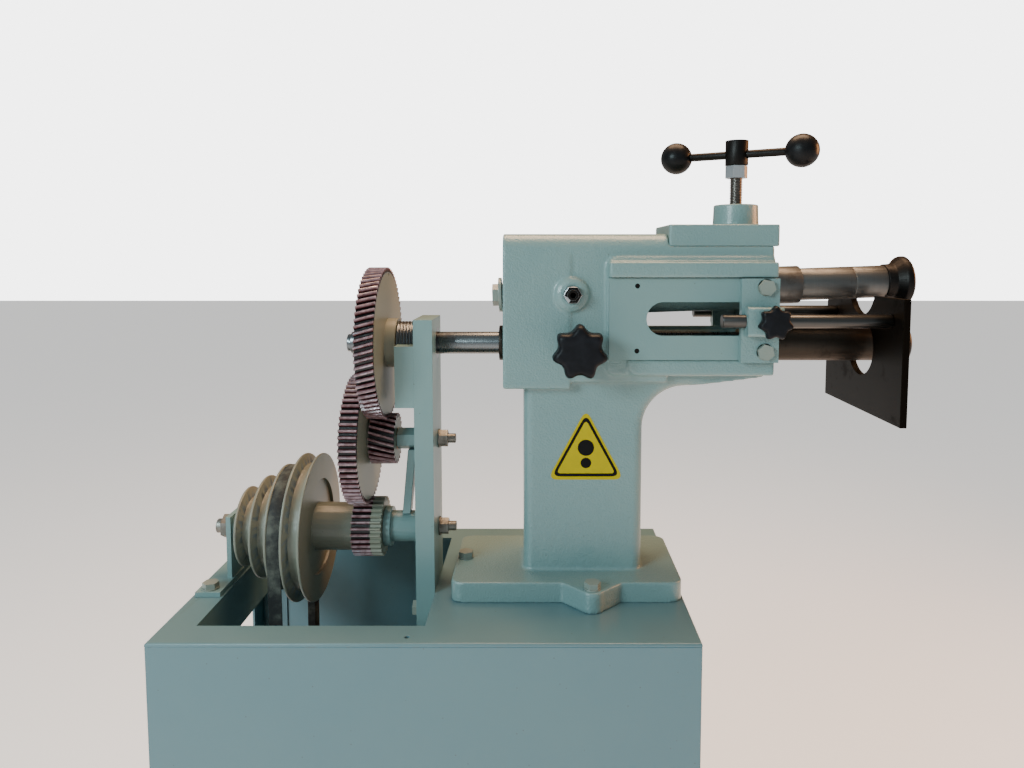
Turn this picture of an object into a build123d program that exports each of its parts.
"""Powered rotary beading machine: sheet-steel cabinet, cast swan-neck head, two
rolling shafts, a three-axis gear train and a stepped V-belt drive.

Frame: millimetres, +Z up, +X from the gear end towards the rollers, origin on
the floor below the middle of the cabinet.  All shafts lie in the plane Y = 0.
"""
from build123d import *
from math import acos, cos, pi, radians, sin, tan
import os

# Cabinet
CAB_X, CAB_Y, CAB_Z = 600.0, 340.0, 720.0
SHEET = 3.0
TOP_PLATE = 4.0
FLANGE = 39.0
OPEN_X0, OPEN_X1 = -CAB_X / 2 + FLANGE, -4.0
OPEN_Y = CAB_Y / 2 - FLANGE
ANCHOR_X, ANCHOR_Y, ANCHOR_R = 520.0, 260.0, 7.0
RAIL_H = 58.0

# Shaft heights, all in the plane Y = 0
AXLE_Z = CAB_Z + 67.0
SPUR_MODULE, SPUR_PINION_T, SPUR_GEAR_T = 2.5, 28, 64
HELIX_MODULE, HELIX_PINION_T, HELIX_GEAR_T = 2.5 / cos(radians(15.0)), 23, 72
HELIX_ANGLE = 15.0
SYNC_MODULE, SYNC_T = 3.0, 21
IDLER_Z = AXLE_Z + SPUR_MODULE * (SPUR_PINION_T + SPUR_GEAR_T) / 2
SHAFT_Z = IDLER_Z + HELIX_MODULE * (HELIX_PINION_T + HELIX_GEAR_T) / 2
SHAFT_R = 14.0
RUN_FIT = 0.06

# Rocker arm that carries the upper shaft, open by TILT degrees at rest
TILT = 2.0
PIVOT_X = 164.0
SYNC_X0, SYNC_X1 = 120.0, 145.0
PIVOT_Z = SHAFT_Z + 62.9 + (PIVOT_X - (SYNC_X0 + SYNC_X1) / 2) * tan(radians(TILT))
ROCKER_R = 29.0
PIVOT_PIN_R = 10.0

# Head casting
HEAD_X0, HEAD_X1 = 81.0, 404.0
HEAD_Y = 54.0
HEAD_TOP, HEAD_TOP_LOW, HEAD_BOTTOM = CAB_Z + 441.0, CAB_Z + 426.0, CAB_Z + 255.0
BASE_X0, BASE_X1, BASE_Y, BASE_H = 18.0, 297.0, 76.0, 25.0
COLUMN_X0, COLUMN_X1, COLUMN_Y, COLUMN_R = 105.0, 252.0, 40.0, 12.0
CORE_Y = 38.0
CORE_Z0, CORE_Z1 = CAB_Z + 267.0, CAB_Z + 410.0
SLOT_X0, SLOT_X1, SLOT_Z, SLOT_R = 251.0, 390.0, CAB_Z + 340.6, 20.0
PLATE_X0, PLATE_Z0, PLATE_Z1 = 207.0, CAB_Z + 292.0, CAB_Z + 388.5
PLATE_Y0, PLATE_Y1 = 58.0, 66.0
SPRING_X, SPRING_Z0 = 390.0, CAB_Z + 324.8
SPRING_R, SPRING_BORE_R = 8.0, 6.0

# Press screw and handle
SCREW_X, SCREW_R, SCREW_PITCH = 370.5, 8.0, 2.0
PAD_R, PAD_Z0, PAD_Z1 = 15.0, CAB_Z + 406.3, CAB_Z + 436.0
HUB_Z0, HUB_Z1, BAR_Z = CAB_Z + 527.0, CAB_Z + 557.0, CAB_Z + 540.0
BALL_R, BALL_SPAN, BAR_ANGLE = 20.0, 156.0, -29.5

# Small knobs, and the places of the bolts and screws
LOCK_X, GUIDE_KNOB_X = 171.0, 391.0
AXLE_FOOT_BOLT_X, AXLE_FOOT_BOLTS_Y = -280.0, (-50.0, 50.0)
BAR_BOLTS_Y = (-34.0, 12.0)
BASE_BOLTS = ((187.0, -92.0), (187.0, 92.0), (30.0, 0.0))
SIDE_SCREWS = ((240.0, CAB_Z + 379.5), (240.0, CAB_Z + 302.7))
BRACKET_BOLT_X, BRACKET_BOLTS_Z = 388.0, (CAB_Z + 378.0, CAB_Z + 302.7)

# Fence and its guide rods
ROD_Y, ROD_Z, ROD_R = 80.0, CAB_Z + 339.0, 8.0
ROD_X0 = 336.0
FENCE_X0, FENCE_X1, FENCE_Y = 532.0, 540.0, 110.0
FENCE_Z0, FENCE_Z1, FENCE_HOLE_R = CAB_Z + 220.0, CAB_Z + 366.0, 36.0

# Gear support bar and gear train stations along X
BAR_X0, BAR_X1, BAR_Y0, BAR_Y1 = -27.0, -4.0, -50.0, 28.0
BAR_Z0, BAR_Z1 = CAB_Z - 60.0, CAB_Z + 338.0
SPUR_GEAR_X0, SPUR_GEAR_X1 = -112.5, -90.5
PINION_X0, PINION_X1 = -110.5, -73.5
HELIX_PINION_X0, HELIX_PINION_X1 = -88.0, -56.0
MAIN_GEAR_X0, MAIN_GEAR_X1 = -88.5, -66.0
AXLE_R, STUD_R, IDLER_STUD_R = 12.5, 6.0, 10.0
SLEEVE_X1 = 557.0

# Belt drive: four grooves, the belt runs in the third from the left
GROOVE_PITCH, PULLEY_X0 = 23.5, -251.0
RIM_RADII = (50.0, 64.0, 78.5, 92.5)
GROOVE_DEPTH, GROOVE_TOP, GROOVE_BOTTOM = 13.0, 17.4, 10.4
BELT_GROOVE = 2
BELT_TOP, BELT_BOTTOM, BELT_H = 16.0, 10.0, 10.0
MOTOR_Z = 290.0
MOTOR_X0, MOTOR_X1, MOTOR_R = -120.0, 110.0, 75.0
MOTOR_SHAFT_R = 12.0


# ---------------------------------------------------------------- helpers
def block(x0, x1, y0, y1, z0, z1):
    """Box between two opposite corners."""
    return Pos((x0 + x1) / 2, (y0 + y1) / 2, (z0 + z1) / 2) * Box(x1 - x0, y1 - y0, z1 - z0)


def bar_x(x0, x1, y, z, r):
    """Cylinder along X."""
    return Pos((x0 + x1) / 2, y, z) * Rot(0, 90, 0) * Cylinder(r, x1 - x0)


def bar_y(x, y0, y1, z, r):
    """Cylinder along Y."""
    return Pos(x, (y0 + y1) / 2, z) * Rot(90, 0, 0) * Cylinder(r, y1 - y0)


def bar_z(x, y, z0, z1, r):
    """Cylinder along Z."""
    return Pos(x, y, (z0 + z1) / 2) * Cylinder(r, z1 - z0)


def hex_prism(across_flats, height):
    """Hexagonal prism along +Z from the origin."""
    return extrude(RegularPolygon(across_flats / 2, 6, major_radius=False), height)


def hex_x(x0, x1, y, z, across_flats):
    """Hexagonal prism along X."""
    return Pos(x0, y, z) * Rot(0, 90, 0) * hex_prism(across_flats, x1 - x0)


def hex_z(x, y, z0, z1, across_flats):
    """Hexagonal prism along Z."""
    return Pos(x, y, z0) * hex_prism(across_flats, z1 - z0)


def hex_y(x, y0, y1, z, across_flats):
    """Hexagonal prism along Y."""
    return Pos(x, y1, z) * Rot(90, 0, 0) * hex_prism(across_flats, y1 - y0)


def slot_y(x0, x1, y0, y1, z, r):
    """Round-ended slot cutter along X, cutting through Y."""
    ends = bar_y(x0 + r, y0, y1, z, r) + bar_y(x1 - r, y0, y1, z, r)
    return block(x0 + r, x1 - r, y0, y1, z - r, z + r) + ends


def silhouette(points, y0, y1):
    """Prism with an X-Z outline between two Y planes."""
    face = make_face(Polyline(*[(x, y0, z) for x, z in points], close=True))
    return extrude(face, amount=y1 - y0, dir=(0, 1, 0))


def section_x(points, x0, x1):
    """Prism with a Y-Z outline between two X planes."""
    face = make_face(Polyline(*[(x0, y, z) for y, z in points], close=True))
    return extrude(face, amount=x1 - x0, dir=(1, 0, 0))


def turned(points, z):
    """Solid of revolution about the X axis at height z from (x, radius) points."""
    face = make_face(Polyline(*[(x, 0, z + r) for x, r in points], close=True))
    return revolve(face, Axis((0, 0, z), (1, 0, 0)), 360)


def span(side, near, far):
    """Ordered Y limits of something that lies between near and far from the centre plane."""
    return sorted((side * near, side * far))


def save(name, *solids):
    """Write one node, as one solid or as a group of separate solids."""
    shape = solids[0] if len(solids) == 1 else Compound(list(solids))
    export_step(shape, f"parts/{name}.step")


# ---------------------------------------------------------------- gears
def tooth_points(teeth, module, backlash, phase):
    """Closed gear outline: involute flanks sampled at root, pitch and tip."""
    pitch_r = module * teeth / 2
    base_r = pitch_r * cos(radians(20.0))
    tip_r, root_r = pitch_r + 0.95 * module, pitch_r - 1.25 * module
    half_pitch = pi / (2 * teeth) - backlash / (2 * pitch_r)
    involute = tan(radians(20.0)) - radians(20.0)

    def half_angle(r):
        a = acos(min(1.0, base_r / r))
        return half_pitch + involute - (tan(a) - a)

    radii = (root_r, pitch_r, tip_r)
    points = []
    for i in range(teeth):
        middle = radians(phase) + 2 * pi * i / teeth
        flank = [(r, middle - half_angle(max(r, base_r))) for r in radii]
        flank += [(r, middle + half_angle(max(r, base_r))) for r in reversed(radii)]
        points += [(r * cos(a), r * sin(a)) for r, a in flank]
    return points


def spur(x0, x1, z, teeth, module, backlash, phase):
    """Straight-toothed gear along X; phase is the angle of one tooth from +Y."""
    outline = [(y, z + h) for y, h in tooth_points(teeth, module, backlash, phase)]
    return section_x(outline, x0, x1)


def helical(x0, x1, z, teeth, module, backlash, phase, turn_per_mm, x_ref, steps):
    """Helical gear along X: ruled faces between outlines that turn step by step."""
    rings = []
    for i in range(steps + 1):
        x = x0 + (x1 - x0) * i / steps
        outline = tooth_points(teeth, module, backlash, phase + turn_per_mm * (x - x_ref))
        rings.append([Vector(x, y, z + h) for y, h in outline])
    faces = [make_face(Polyline(*ring, close=True)).faces()[0] for ring in (rings[0], rings[-1])]
    for near, far in zip(rings, rings[1:]):
        for j in range(len(near)):
            edges = [Edge.make_line(ring[j - 1], ring[j]) for ring in (near, far)]
            faces.append(Face.make_surface_from_curves(*edges))
    return Solid(Shell(faces))


# ---------------------------------------------------------------- cabinet
def cabinet():
    """Folded sheet cabinet, open at the left below its top rail."""
    x, y, z = CAB_X / 2, CAB_Y / 2, CAB_Z - TOP_PLATE
    save("cabinet_front_panel", block(-x, x, -y, -y + SHEET, SHEET, z))
    save("cabinet_back_panel", block(-x, x, y - SHEET, y, SHEET, z))
    save("cabinet_right_panel", block(x - SHEET, x, -y + SHEET, y - SHEET, SHEET, z))
    plate = block(-x, x, -y, y, z, CAB_Z)
    plate = fillet(plate.faces().sort_by(Axis.Z)[-1].edges(), 2.5)
    plate -= block(OPEN_X0, OPEN_X1, -OPEN_Y, OPEN_Y, z - 1, CAB_Z + 1)
    plate -= bar_z(-x + 280, -y + 14, z - 1, CAB_Z + 1, 3.0)
    for hx, hy in BASE_BOLTS:
        plate -= bar_z(hx, hy, z - 1, CAB_Z + 1, 5.5)
    for hy in AXLE_FOOT_BOLTS_Y:
        plate -= bar_z(AXLE_FOOT_BOLT_X, hy, z - 1, CAB_Z + 1, 5.5)
    save("cabinet_top_plate", plate)
    pan = block(-x, x, -y, y, 0, SHEET)
    for hx in (-ANCHOR_X / 2, ANCHOR_X / 2):
        for hy in (-ANCHOR_Y / 2, ANCHOR_Y / 2):
            pan -= bar_z(hx, hy, -1, SHEET + 1, ANCHOR_R)
    save("cabinet_floor_pan", pan)
    inner = y - SHEET
    rail = block(-x, OPEN_X0, -inner, inner, z - RAIL_H, z)
    rail -= block(-x + SHEET, OPEN_X0 - SHEET, -inner - 1, inner + 1, z - RAIL_H + SHEET, z - SHEET)
    for hy in AXLE_FOOT_BOLTS_Y:
        rail -= bar_z(AXLE_FOOT_BOLT_X, hy, z - SHEET - 1, z + 1, 5.5)
    posts = []
    for side in (-1, 1):
        y0, y1 = span(side, inner - FLANGE, inner)
        leg = block(-x, -x + SHEET, y0, y1, SHEET, z - RAIL_H)
        y0, y1 = span(side, inner - SHEET, inner)
        leg += block(-x, -x + FLANGE, y0, y1, SHEET, z - RAIL_H)
        posts.append(leg)
    save("cabinet_left_frame", rail, *posts)
    bearer = block(OPEN_X1, OPEN_X1 + 8, -inner, inner, z - 110, z)
    for hy in BAR_BOLTS_Y:
        bearer -= bar_x(OPEN_X1 - 1, OPEN_X1 + 9, hy, CAB_Z - 26, 5.0)
    save("bar_bearer", bearer)


# ---------------------------------------------------------------- fixed gear supports
def gear_supports():
    """Axle bracket, support bar, studs, spacers, brace and the shaft's outer bearing."""
    foot = block(-295, -264, -61, 61, CAB_Z, CAB_Z + 6)
    foot += block(-272, -266, -20, 20, CAB_Z + 6, CAB_Z + 85)
    for hy in AXLE_FOOT_BOLTS_Y:
        foot -= bar_z(AXLE_FOOT_BOLT_X, hy, CAB_Z - 1, CAB_Z + 7, 5.5)
    save("axle_bracket", foot - bar_x(-273, -265, 0, AXLE_Z, 9.0))

    bar = block(BAR_X0, BAR_X1, BAR_Y0, BAR_Y1, BAR_Z0, BAR_Z1)
    bar -= bar_x(BAR_X0 - 1, BAR_X1 + 1, 0, SHAFT_Z, 20.0)
    for hz in (AXLE_Z, IDLER_Z):
        bar -= bar_x(BAR_X0 - 1, BAR_X1 + 1, 0, hz, STUD_R)
    for hy in BAR_BOLTS_Y:
        bar -= bar_x(BAR_X0 - 1, BAR_X1 + 1, hy, CAB_Z - 26, 5.0)
    save("gear_support_bar", bar)

    saddle = block(-50, BAR_X0, BAR_Y0, BAR_Y1, CAB_Z + 231, CAB_Z + 306)
    save("bearing_saddle", saddle - bar_x(-51, -26, 0, SHAFT_Z, 27.6))
    bearing = bar_x(-52.4, BAR_X0, 0, SHAFT_Z, 27.5) + bar_x(BAR_X0, BAR_X1, 0, SHAFT_Z, 20.0)
    for i in range(6):
        ring = bar_x(-50 + 4 * i, -48.4 + 4 * i, 0, SHAFT_Z, 29)
        bearing -= ring - bar_x(-51 + 4 * i, -47 + 4 * i, 0, SHAFT_Z, 26.2)
    save("outer_shaft_bearing", bearing - bar_x(-54, 0, 0, SHAFT_Z, SHAFT_R + RUN_FIT))

    axle = bar_x(-266, BAR_X0, 0, AXLE_Z, AXLE_R) + bar_x(-290, -266, 0, AXLE_Z, 9.0)
    axle += bar_x(BAR_X0, 18, 0, AXLE_Z, STUD_R)
    stud = bar_x(-116, BAR_X0, 0, IDLER_Z, IDLER_STUD_R) + bar_x(BAR_X0, 18, 0, IDLER_Z, STUD_R)
    stud += bar_x(-119, -113.2, 0, IDLER_Z, 15.0)
    save("gear_studs", axle, stud)

    spacers = [bar_x(-266, -251.6, 0, AXLE_Z, 17) - bar_x(-267, -250, 0, AXLE_Z, AXLE_R)]
    sleeve = bar_x(-64, BAR_X0, 0, AXLE_Z, 19.5) + bar_x(-73, -64, 0, AXLE_Z, 25)
    spacers.append(sleeve - bar_x(-74, -20, 0, AXLE_Z, AXLE_R))
    spacers.append(hex_x(-55.6, BAR_X0, 0, IDLER_Z, 24) - bar_x(-57, -20, 0, IDLER_Z, IDLER_STUD_R))
    save("stud_spacers", *spacers)

    top, low = IDLER_Z - 13.0, AXLE_Z + 19.0
    strip = silhouette([(-42, top), (-32, top), (-40, low), (-50, low)], -10, 10)
    strip -= bar_x(-60, -20, 0, AXLE_Z, 19.5) + hex_x(-60, -20, 0, IDLER_Z, 24)
    save("stud_brace", strip)

    nuts = [hex_x(-282, -272, 0, AXLE_Z, 27) - bar_x(-283, -271, 0, AXLE_Z, 9.0)]
    for hz in (AXLE_Z, IDLER_Z):
        nut = hex_x(BAR_X1 + 2, BAR_X1 + 12, 0, hz, 19) + bar_x(BAR_X1, BAR_X1 + 2, 0, hz, 12)
        nuts.append(nut - bar_x(BAR_X1 - 1, BAR_X1 + 13, 0, hz, STUD_R))
    save("stud_nuts", *nuts)


# ---------------------------------------------------------------- head
def base_outline():
    """Rounded base plate with a bolting lug on each long side."""
    base = block(BASE_X0, BASE_X1, -BASE_Y, BASE_Y, CAB_Z, CAB_Z + BASE_H)
    base = fillet(base.edges().filter_by(Axis.Z), 14.0)
    for side in (-1, 1):
        tip = side * 92.0
        lug = make_face(Polyline((146, side * 70), (230, side * 70), (198, tip + side * 8),
                                 (176, tip + side * 8), close=True))
        base += Pos(0, 0, CAB_Z) * extrude(lug, BASE_H, dir=(0, 0, 1))
        base += bar_z(187, tip, CAB_Z, CAB_Z + BASE_H, 14.0)
    return base


def head_outline():
    """Outer form of the swan-neck casting: column, neck and head."""
    column = block(COLUMN_X0, COLUMN_X1, -COLUMN_Y, COLUMN_Y, CAB_Z + BASE_H, HEAD_BOTTOM + 9)
    column = fillet(column.edges().filter_by(Axis.Z), COLUMN_R)
    z = HEAD_BOTTOM
    inner_x = COLUMN_X0 + COLUMN_R + 1
    neck = make_face(
        Polyline((inner_x, 0, z + 40), (inner_x, 0, z - 50), (COLUMN_X1, 0, z - 50))
        + ThreePointArc((COLUMN_X1, 0, z - 50), (COLUMN_X1 + 15.5, 0, z - 15), (COLUMN_X1 + 52, 0, z))
        + Polyline((COLUMN_X1 + 52, 0, z), (HEAD_X1 - 6, 0, z + 12), (HEAD_X1 - 6, 0, z + 40),
                   (inner_x, 0, z + 40)))
    neck = Pos(0, -COLUMN_Y, 0) * extrude(neck, amount=2 * COLUMN_Y, dir=(0, 1, 0))
    under = neck.edges().filter_by_position(Axis.X, COLUMN_X1 + 0.1, HEAD_X1 - 6.1)
    neck = fillet(under.filter_by_position(Axis.Z, z - 60, z + 20).filter_by(GeomType.CIRCLE), COLUMN_R)
    top = fillet(block(HEAD_X0, PIVOT_X - 2, -HEAD_Y - 2, HEAD_Y + 2, HEAD_BOTTOM, HEAD_TOP)
                 .edges().filter_by(Axis.X).sort_by(Axis.Z)[-2:], 33.0)
    body = fillet(block(HEAD_X0, 279, -HEAD_Y, HEAD_Y, HEAD_BOTTOM + 8, HEAD_TOP)
                  .edges().filter_by(Axis.X).sort_by(Axis.Z)[-2:], 20.0)
    low = block(279, HEAD_X1, -HEAD_Y, HEAD_Y, HEAD_BOTTOM + 17, HEAD_TOP_LOW)
    form = column + neck + top + body + low
    for side in (-1, 1):
        y0, y1 = span(side, 30, PLATE_Y0)
        pad = block(205, HEAD_X1, y0, y1, PLATE_Z0 - 20, CAB_Z + 413)
        form += fillet(pad.edges().filter_by(Axis.Y).sort_by(Axis.X)[:2], 12.0)
        y0, y1 = span(side, 30, 62)
        rail = block(230, HEAD_X1, y0, y1, PLATE_Z0 - 20, PLATE_Z0 - 0.5)
        form += fillet(rail.edges().filter_by(Axis.Y).sort_by(Axis.Z)[:1], 14.0)
        y0, y1 = span(side, 30, 73)
        form += block(PLATE_X0, HEAD_X1, y0, y1, PLATE_Z1 + 1, CAB_Z + 407.5)
        y0, y1 = span(side, 30, 60)
        form += bar_y(PIVOT_X, y0, y1, PIVOT_Z, 20.0)
        y0, y1 = span(side, 30, 62)
        form += bar_y(PIVOT_X, y0, y1, PIVOT_Z, 15.0)
    return form


def head_casting():
    """Hollow cast head with its bores, side windows and bolt holes."""
    casting = base_outline() + head_outline()
    casting -= block(COLUMN_X0 + 15, COLUMN_X1 - 15, -26, 26, CAB_Z - 1, HEAD_BOTTOM - 12)
    casting -= block(HEAD_X0 + 18, HEAD_X1 - 28, -CORE_Y, CORE_Y, CORE_Z0, CORE_Z1)
    casting -= block(HEAD_X1 - 29, HEAD_X1 + 1, -CORE_Y, CORE_Y, CAB_Z + 328, CORE_Z1)
    casting -= bar_x(HEAD_X0 - 1, HEAD_X0 + 19, 0, SHAFT_Z, 18.0)
    casting -= bar_x(HEAD_X0 - 1, HEAD_X0 + 19, 0, PIVOT_Z - 1.0, 19.5)
    casting -= bar_x(HEAD_X1 - 29, HEAD_X1 + 1, 0, SHAFT_Z, 18.0)
    casting -= slot_y(SLOT_X0 - 5, SLOT_X1 + 5, -80, 80, SLOT_Z, SLOT_R + 4.5)
    casting -= bar_y(PIVOT_X, -80, 80, PIVOT_Z, PIVOT_PIN_R)
    casting -= bar_y(LOCK_X, -80, -30, SHAFT_Z, 5.05)
    casting -= bar_z(SCREW_X, 0, CORE_Z1 - 1, HEAD_TOP_LOW + 1, PAD_R + RUN_FIT)
    casting -= bar_z(SPRING_X, 0, SPRING_Z0, CAB_Z + 329, 9.5)
    for side in (-1, 1):
        y0, y1 = span(side, 44, 80)
        for hx, hz in SIDE_SCREWS:
            casting -= bar_y(hx, y0, y1, hz, 3.0)
        for hz in BRACKET_BOLTS_Z:
            casting -= bar_y(BRACKET_BOLT_X, y0, y1, hz, 5.0)
    for hx, hy in BASE_BOLTS:
        casting -= bar_z(hx, hy, CAB_Z - 1, CAB_Z + BASE_H + 1, 5.5)
    save("head_casting", casting)


def head_fittings():
    """Bushes, pivot studs, side plates, rod brackets, top block and return spring."""
    bushes = []
    for x0, x1 in ((HEAD_X0, HEAD_X0 + 18), (HEAD_X1 - 28, HEAD_X1)):
        bushes.append(bar_x(x0, x1, 0, SHAFT_Z, 18) - bar_x(x0 - 1, x1 + 1, 0, SHAFT_Z, SHAFT_R + RUN_FIT))
    save("lower_shaft_bushes", *bushes)

    studs = []
    for side in (-1, 1):
        y0, y1 = span(side, 17.5, 62)
        stud = bar_y(PIVOT_X, y0, y1, PIVOT_Z, PIVOT_PIN_R)
        y0, y1 = span(side, 62, 75)
        stud += bar_y(PIVOT_X, y0, y1, PIVOT_Z, 6.0)
        y0, y1 = span(side, 50, 76)
        stud -= bar_y(PIVOT_X, y0, y1, PIVOT_Z, 3.2)
        y0, y1 = span(side, 62, 72)
        nut = hex_y(PIVOT_X, y0, y1, PIVOT_Z, 19) - bar_y(PIVOT_X, y0 - 1, y1 + 1, PIVOT_Z, 6.0)
        studs += [stud, nut]
    save("pivot_studs", *studs)

    plates, screws, brackets = [], [], []
    for side in (-1, 1):
        y0, y1 = span(side, PLATE_Y0, PLATE_Y1)
        plate = block(PLATE_X0, HEAD_X1, y0, y1, PLATE_Z0, PLATE_Z1)
        plate -= slot_y(SLOT_X0, SLOT_X1, y0 - 1, y1 + 1, SLOT_Z, SLOT_R)
        for hx, hz in SIDE_SCREWS:
            plate -= bar_y(hx, y0 - 1, y1 + 1, hz, 3.0)
            s0, s1 = span(side, 45, PLATE_Y1 - 1.5)
            screws.append(bar_y(hx, s0, s1, hz, 3.0))
        for hz in BRACKET_BOLTS_Z:
            plate -= bar_y(BRACKET_BOLT_X, y0 - 1, y1 + 1, hz, 5.0)
        plates.append(plate)
        brackets.append(rod_bracket(side))
    save("side_plates", *plates)
    save("side_plate_screws", *screws)
    save("rod_brackets", *brackets)

    top = block(279, HEAD_X1 + 6, -53, 53, HEAD_TOP_LOW, HEAD_TOP_LOW + 26)
    top += Pos(SCREW_X, 0, HEAD_TOP_LOW + 39) * Cone(28, 27, 26)
    top -= bar_z(SCREW_X, 0, HEAD_TOP_LOW - 1, HEAD_TOP_LOW + 10.6, PAD_R + RUN_FIT)
    save("top_block", top - bar_z(SCREW_X, 0, HEAD_TOP_LOW, HEAD_TOP_LOW + 60, SCREW_R + RUN_FIT))

    spring = bar_z(SPRING_X, 0, SPRING_Z0, CAB_Z + 346.9, SPRING_R)
    save("return_spring", spring - bar_z(SPRING_X, 0, SPRING_Z0 - 1, CAB_Z + 350, SPRING_BORE_R))


def rod_bracket(side):
    """Clamp block that guides one fence rod, with a screw boss facing outwards."""
    y0, y1 = span(side, PLATE_Y1, 76)
    body = block(360, HEAD_X1, y0, y1, CAB_Z + 290, PLATE_Z1)
    y0, y1 = span(side, PLATE_Y1, 94)
    boss = block(363, HEAD_X1, y0, y1, ROD_Z - 17, ROD_Z + 17)
    body += fillet(boss.edges().filter_by(Axis.X), 4.0)
    body -= bar_x(350, HEAD_X1 + 1, side * ROD_Y, ROD_Z, ROD_R + RUN_FIT)
    y0, y1 = span(side, ROD_Y, 95)
    body -= bar_y(GUIDE_KNOB_X, y0, y1, ROD_Z, 4.05)
    y0, y1 = span(side, PLATE_Y1 - 1, 80)
    for hz in BRACKET_BOLTS_Z:
        body -= bar_y(BRACKET_BOLT_X, y0, y1, hz, 5.0)
    return body


def hex_bolts():
    """All M10 hexagon bolts, each with its washer, as one group."""
    bolts = []
    for hx, hy in BASE_BOLTS:
        bolt = hex_z(hx, hy, CAB_Z + BASE_H + 2, CAB_Z + BASE_H + 8.5, 17)
        bolt += bar_z(hx, hy, CAB_Z + BASE_H, CAB_Z + BASE_H + 2, 10)
        bolts.append(bolt + bar_z(hx, hy, CAB_Z - 14, CAB_Z + BASE_H, 5.0))
    for hy in AXLE_FOOT_BOLTS_Y:
        x = AXLE_FOOT_BOLT_X
        bolt = hex_z(x, hy, CAB_Z + 8, CAB_Z + 14.5, 17) + bar_z(x, hy, CAB_Z + 6, CAB_Z + 8, 10)
        bolts.append(bolt + bar_z(x, hy, CAB_Z - 20, CAB_Z + 6, 5.0))
    for hy in BAR_BOLTS_Y:
        bolt = hex_x(BAR_X0 - 6.5, BAR_X0, hy, CAB_Z - 26, 17)
        bolts.append(bolt + bar_x(BAR_X0, OPEN_X1 + 8, hy, CAB_Z - 26, 5.0))
    for side in (-1, 1):
        for hz in BRACKET_BOLTS_Z:
            y0, y1 = span(side, 76, 82.5)
            bolt = hex_y(BRACKET_BOLT_X, y0, y1, hz, 17)
            y0, y1 = span(side, 46, 76)
            bolts.append(bolt + bar_y(BRACKET_BOLT_X, y0, y1, hz, 5.0))
    save("m10_hex_bolts", *bolts)


# ---------------------------------------------------------------- moving gear train
def stepped_pulley(z, radii):
    """Four V grooves whose rims follow the given radii from left to right."""
    points = [(PULLEY_X0, 0)]
    for i, r in enumerate(radii):
        x0 = PULLEY_X0 + GROOVE_PITCH * i
        middle = x0 + GROOVE_PITCH / 2
        points += [(x0, r), (middle - GROOVE_TOP / 2, r), (middle - GROOVE_BOTTOM / 2, r - GROOVE_DEPTH),
                   (middle + GROOVE_BOTTOM / 2, r - GROOVE_DEPTH), (middle + GROOVE_TOP / 2, r),
                   (x0 + GROOVE_PITCH, r)]
    points.append((PULLEY_X0 + GROOVE_PITCH * len(radii), 0))
    return turned(points, z)


def pulley_set():
    """Driven step pulley with its hub, the spur pinion and two bushes."""
    right = PULLEY_X0 + GROOVE_PITCH * 4
    pulley = stepped_pulley(AXLE_Z, RIM_RADII)
    pulley -= bar_x(right - 4, right + 1, 0, AXLE_Z, 60)
    pulley += bar_x(right - 6, PINION_X0, 0, AXLE_Z, 30)
    bore = bar_x(PULLEY_X0 - 1, PINION_X1 + 1, 0, AXLE_Z, 17)
    save("step_pulley", pulley - bore)
    pinion = spur(PINION_X0, PINION_X1, AXLE_Z, SPUR_PINION_T, SPUR_MODULE, 0.45, 90)
    save("spur_pinion", pinion - bore)
    bushes = []
    for x0, x1 in ((PULLEY_X0, PULLEY_X0 + 40), (PINION_X1 - 40, PINION_X1)):
        bushes.append(bar_x(x0, x1, 0, AXLE_Z, 17) - bar_x(x0 - 1, x1 + 1, 0, AXLE_Z, AXLE_R + RUN_FIT))
    save("pulley_bushes", *bushes)


def idler_set():
    """Idler: spur gear and helical pinion pressed on one bush."""
    bore = bar_x(-120, -50, 0, IDLER_Z, 14)
    gear = spur(SPUR_GEAR_X0, SPUR_GEAR_X1, IDLER_Z, SPUR_GEAR_T, SPUR_MODULE, 0.45,
                270 + 180 / SPUR_GEAR_T)
    save("idler_spur_gear", gear - bore)
    pitch_r = HELIX_MODULE * HELIX_PINION_T / 2
    turn = tan(radians(HELIX_ANGLE)) / pitch_r * 180 / pi
    pinion = helical(HELIX_PINION_X0, HELIX_PINION_X1, IDLER_Z, HELIX_PINION_T, HELIX_MODULE, 0.5,
                     90, turn, MAIN_GEAR_X0, 3)
    pinion += bar_x(SPUR_GEAR_X1, HELIX_PINION_X0, 0, IDLER_Z, 25)
    save("idler_helical_pinion", pinion - bore)
    bush = bar_x(SPUR_GEAR_X0, HELIX_PINION_X1, 0, IDLER_Z, 14)
    save("idler_bush", bush - bar_x(-120, -50, 0, IDLER_Z, IDLER_STUD_R + RUN_FIT))


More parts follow.
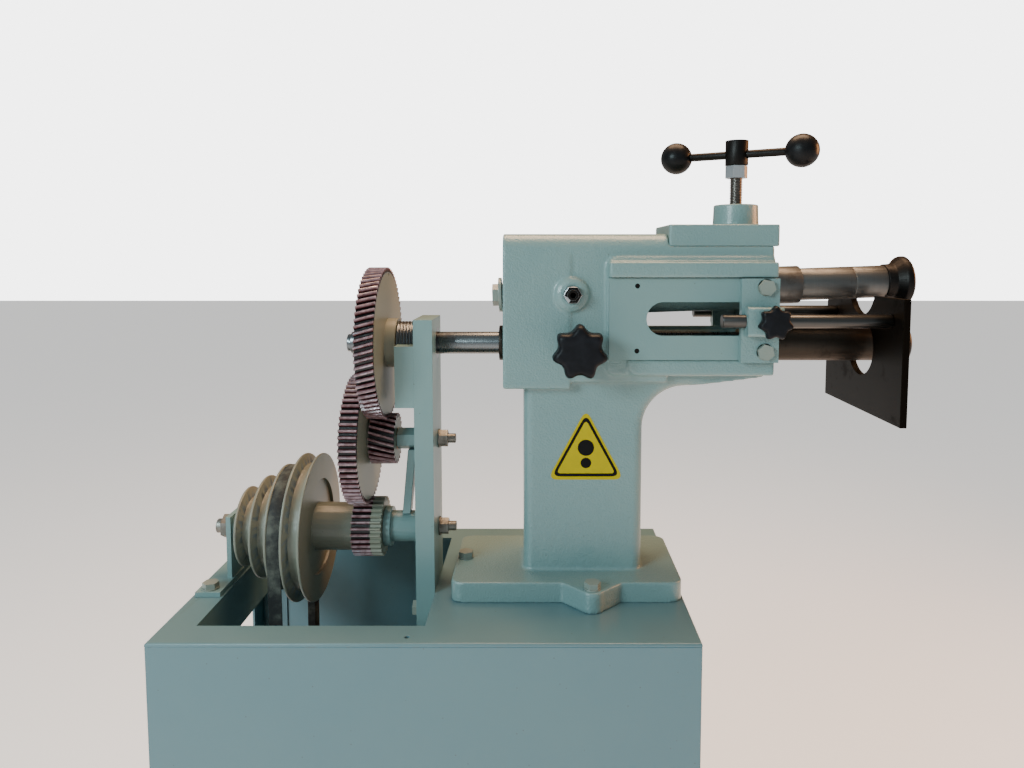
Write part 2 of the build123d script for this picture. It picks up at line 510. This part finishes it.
def lower_shaft_set():
    """Lower roller shaft with the big helical gear, inner gear, sleeves and roller."""
    shaft = bar_x(-112, SLEEVE_X1 + 29, 0, SHAFT_Z, SHAFT_R) + bar_x(-117, -112, 0, SHAFT_Z, 11)
    save("lower_shaft", shaft)
    bore = bar_x(-130, 600, 0, SHAFT_Z, SHAFT_R)
    pitch_r = HELIX_MODULE * HELIX_GEAR_T / 2
    turn = -tan(radians(HELIX_ANGLE)) / pitch_r * 180 / pi
    gear = helical(MAIN_GEAR_X0, MAIN_GEAR_X1, SHAFT_Z, HELIX_GEAR_T, HELIX_MODULE, 0.5,
                   270 + 180 / HELIX_GEAR_T, turn, MAIN_GEAR_X0, 1)
    gear += bar_x(MAIN_GEAR_X1, -53, 0, SHAFT_Z, 31)
    gear -= bar_x(MAIN_GEAR_X0 - 1, MAIN_GEAR_X1 + 1, 7.0, SHAFT_Z + 86.5, 2.2)
    save("main_helical_gear", gear - bore)
    sync = spur(SYNC_X0, SYNC_X1, SHAFT_Z, SYNC_T, SYNC_MODULE, 1.0, 90)
    save("lower_sync_gear", sync - bore)
    collar = bar_x(HEAD_X0 - 6.5, HEAD_X0 - 0.5, 0, SHAFT_Z, 22)
    sleeve = bar_x(HEAD_X1 + 0.5, SLEEVE_X1, 0, SHAFT_Z, 22.3)
    save("lower_shaft_sleeves", collar - bore, sleeve - bore)
    x = SLEEVE_X1
    roller = turned([(x, 0), (x, 21), (x + 8, 22), (x + 14, 28), (x + 25, 28), (x + 29, 24), (x + 29, 0)],
                    SHAFT_Z)
    save("lower_roller", roller - bore)


def tilted(shape):
    """Place a shape, modelled level with its pivot at the origin, on the rocker's axis."""
    return Pos(PIVOT_X, 0, PIVOT_Z) * Rot(0, -TILT, 0) * shape


def rocker_set():
    """Rocker arm and its two bushes, swinging on the pivot studs."""
    arm = bar_x(-15, 236, 0, 0, ROCKER_R) - bar_x(-16, 237, 0, 0, 16)
    arm -= bar_y(0, -40, 40, 0, PIVOT_PIN_R + RUN_FIT)
    bushes = []
    for x0, x1 in ((14, 44), (204, 234)):
        arm -= bar_x(x0, x1, 0, 0, 18)
        bushes.append(tilted(bar_x(x0, x1, 0, 0, 18) - bar_x(x0 - 1, x1 + 1, 0, 0, SHAFT_R + RUN_FIT)))
    save("rocker_arm", tilted(arm))
    save("rocker_bushes", *bushes)


def upper_shaft_set():
    """Upper roller shaft with its inner gear, end bolt, sleeves and roller."""
    right = SLEEVE_X1 - PIVOT_X
    save("upper_shaft", tilted(bar_x(-86, right + 29, 0, 0, SHAFT_R)))
    bore = bar_x(-100, right + 40, 0, 0, SHAFT_R)
    gear = spur(SYNC_X0 - PIVOT_X, SYNC_X1 - PIVOT_X, 0, SYNC_T, SYNC_MODULE, 1.0, 270 + 180 / SYNC_T)
    save("upper_sync_gear", tilted(gear - bore))
    save("upper_end_bolt", tilted(hex_x(-98, -90, 0, 0, 24) + bar_x(-90, -86, 0, 0, 21.5)))
    collar = bar_x(242, 286, 0, 0, 23.5) - bore
    sleeve = turned([(286, 0), (286, 20.3), (352, 20.3), (352.5, 19.8), (353.5, 19.8), (354, 20.3),
                     (right, 20.3), (right, 0)], 0) - bore
    save("upper_shaft_sleeves", tilted(collar), tilted(sleeve))
    roller = turned([(right, 0), (right, 21.5), (right + 11, 22), (right + 19, 30), (right + 22, 31),
                     (right + 26, 31), (right + 29, 28), (right + 29, 0)], 0)
    save("upper_roller", tilted(roller - bore))


# ---------------------------------------------------------------- hand controls
def press_screw():
    """Thrust pad, press screw, lock nut, hub, cross bar and its two balls."""
    pad = bar_z(SCREW_X, 0, PAD_Z0, PAD_Z1, PAD_R)
    save("thrust_pad", pad - bar_z(SCREW_X, 0, PAD_Z1 - 16, PAD_Z1 + 1, 6 + RUN_FIT))
    screw = bar_z(SCREW_X, 0, PAD_Z1 + 0.5, HUB_Z0 + 1, SCREW_R)
    screw += bar_z(SCREW_X, 0, PAD_Z1 - 15.5, PAD_Z1 + 0.5, 6.0)
    save("press_screw", screw)
    nut = hex_z(SCREW_X, 0, HUB_Z0 - 16, HUB_Z0 - 1, 24) - bar_z(SCREW_X, 0, HUB_Z0 - 17, HUB_Z0, SCREW_R)
    hub = bar_z(SCREW_X, 0, HUB_Z0, HUB_Z1, 14) - bar_z(SCREW_X, 0, HUB_Z0 - 1, HUB_Z0 + 1, SCREW_R)
    turn = Pos(SCREW_X, 0, BAR_Z) * Rot(0, 0, BAR_ANGLE)
    cross = turn * bar_x(-BALL_SPAN / 2, BALL_SPAN / 2, 0, 0, 5.0)
    save("screw_hub", hub - cross, nut)
    save("cross_bar", cross)
    balls = []
    for x in (-BALL_SPAN / 2, BALL_SPAN / 2):
        balls.append(turn * Pos(x, 0, 0) * Sphere(BALL_R) - cross)
    save("ball_knobs", *balls)


def star_knob(radius, lobes, thickness):
    """Lobed grip, centred on the origin and rising along +Z."""
    wave = 0.09 * radius
    samples = 4 * lobes
    points = []
    for i in range(samples):
        a = 2 * pi * i / samples
        r = radius - wave + wave * cos(lobes * a)
        points.append((r * cos(a), r * sin(a)))
    return extrude(make_face(Spline(*points, periodic=True)), thickness)


def knob(x, z, side, y_face, y_grip, radius, thickness, hub_r, stud_r, y_tip):
    """Star knob on a stud along Y: the grip is outside y_grip, the stud ends at y_tip."""
    grip = star_knob(radius, 7, thickness)
    turn = Rot(90, 0, 0) if side < 0 else Rot(-90, 0, 0)
    shape = Pos(x, side * y_grip, z) * turn * grip
    y0, y1 = span(side, y_face, y_grip)
    shape += bar_y(x, y0, y1, z, hub_r)
    y0, y1 = span(side, y_tip, y_grip)
    return shape + bar_y(x, y0, y1, z, stud_r)


def knobs():
    """Shaft lock knob and the two fence rod knobs."""
    save("shaft_lock_knob", knob(LOCK_X, SHAFT_Z, -1, HEAD_Y + 2.6, 85, 32.5, 25, 12, 5.0, 44))
    save("guide_knob_front", knob(GUIDE_KNOB_X, ROD_Z, -1, 94.5, 98, 20, 12, 8, 4.0, 88.4))
    save("guide_knob_back", knob(GUIDE_KNOB_X, ROD_Z, 1, 94.5, 98, 20, 12, 8, 4.0, 88.4))


def fence():
    """Stop plate on two guide rods, cut out around both shafts."""
    plate = block(FENCE_X0, FENCE_X1, -FENCE_Y, FENCE_Y, FENCE_Z0, FENCE_Z1)
    plate -= bar_x(FENCE_X0 - 1, FENCE_X1 + 1, 0, CAB_Z + 301, FENCE_HOLE_R)
    plate -= bar_x(FENCE_X0 - 1, FENCE_X1 + 1, 0, CAB_Z + 377, FENCE_HOLE_R)
    save("fence_plate", plate)
    save("guide_rods", *[bar_x(ROD_X0, FENCE_X0, side * ROD_Y, ROD_Z, ROD_R) for side in (-1, 1)])


# ---------------------------------------------------------------- motor and belt
def drive_belt():
    """V-belt round the third grooves of both pulleys, as two arcs and two straight runs."""
    x = PULLEY_X0 + GROOVE_PITCH * (BELT_GROOVE + 0.5)
    top_r, low_r = RIM_RADII[BELT_GROOVE] - 0.3, RIM_RADII[3 - BELT_GROOVE] - 0.3
    lean = (top_r - low_r) / (AXLE_Z - MOTOR_Z)
    run = (1 - lean * lean) ** 0.5

    def outline(shrink):
        """Closed loop of two tangent lines and two arcs, shrunk inwards."""
        a, b = top_r - shrink, low_r - shrink
        right_top, right_low = (a * run, AXLE_Z - a * lean), (b * run, MOTOR_Z - b * lean)
        left_top, left_low = (-right_top[0], right_top[1]), (-right_low[0], right_low[1])
        return right_top, right_low, left_top, left_low, AXLE_Z + a, MOTOR_Z - b

    def loop(shrink, x_at):
        """Filled loop face in the plane X = x_at."""
        rt, rl, lt, ll, high, deep = outline(shrink)
        wire = Line((x_at, *rl), (x_at, *rt)) + ThreePointArc((x_at, *rt), (x_at, 0, high), (x_at, *lt))
        wire += Line((x_at, *lt), (x_at, *ll)) + ThreePointArc((x_at, *ll), (x_at, 0, deep), (x_at, *rl))
        return make_face(wire)

    half_top, half_low = BELT_TOP / 2, BELT_BOTTOM / 2
    belt = extrude(loop(0, x - half_top), amount=BELT_TOP, dir=(1, 0, 0))
    belt -= extrude(loop(BELT_H, x - half_top - 1), amount=BELT_TOP + 2, dir=(1, 0, 0))
    for side in (-1, 1):
        flare = loft([loop(BELT_H, x + side * half_low), loop(1.0, x + side * half_top)], ruled=True)
        belt -= flare
    save("drive_belt", belt)


def motor():
    """Foot-mounted motor on its slotted plate and two cross rails."""
    inner = CAB_Y / 2 - SHEET
    rails = [block(x, x + 40, -inner, inner, 184, 190) for x in (-110, 60)]
    plate = block(-125, 115, -110, 110, 190, 198)
    for hx in (-90, 80):
        for hy in (-75, 75):
            plate -= block(hx - 5.5, hx + 5.5, hy - 20, hy + 20, 189, 199)
    save("motor_mount", plate, *rails)
    body = bar_x(MOTOR_X0, MOTOR_X1, 0, MOTOR_Z, MOTOR_R)
    body += block(-105, 95, -95, 95, 198, 208) + block(-80, 70, -55, 55, 206, MOTOR_Z - 40)
    body -= bar_x(MOTOR_X0 - 1, MOTOR_X0 + 25, 0, MOTOR_Z, MOTOR_SHAFT_R + RUN_FIT)
    save("motor_housing", body)
    cover = bar_x(MOTOR_X1, MOTOR_X1 + 50, 0, MOTOR_Z, MOTOR_R + 2) - bar_x(MOTOR_X1 - 1, MOTOR_X1 + 47, 0,
                                                                          MOTOR_Z, MOTOR_R - 1)
    save("motor_fan_cover", cover)
    box = block(-50, 40, -50, 50, MOTOR_Z + MOTOR_R - 14, MOTOR_Z + MOTOR_R + 42) - bar_x(
        MOTOR_X0, MOTOR_X1, 0, MOTOR_Z, MOTOR_R)
    save("motor_terminal_box", box)
    gland = bar_y(-5, -74, -50, MOTOR_Z + MOTOR_R + 20, 11) - bar_y(-5, -75, -56, MOTOR_Z + MOTOR_R + 20, 6)
    save("cable_gland", gland)
    rotor = bar_x(PULLEY_X0 + 2, MOTOR_X0 + 24, 0, MOTOR_Z, MOTOR_SHAFT_R)
    save("motor_shaft", rotor)
    pulley = stepped_pulley(MOTOR_Z, RIM_RADII[::-1])
    pulley += bar_x(PULLEY_X0 + GROOVE_PITCH * 4 - 1, MOTOR_X0 - 6, 0, MOTOR_Z, 26)
    save("motor_pulley", pulley - bar_x(PULLEY_X0 - 1, MOTOR_X0, 0, MOTOR_Z, MOTOR_SHAFT_R))


os.makedirs("parts", exist_ok=True)
cabinet()
gear_supports()
head_casting()
head_fittings()
hex_bolts()
pulley_set()
idler_set()
lower_shaft_set()
rocker_set()
upper_shaft_set()
press_screw()
knobs()
fence()
drive_belt()
motor()
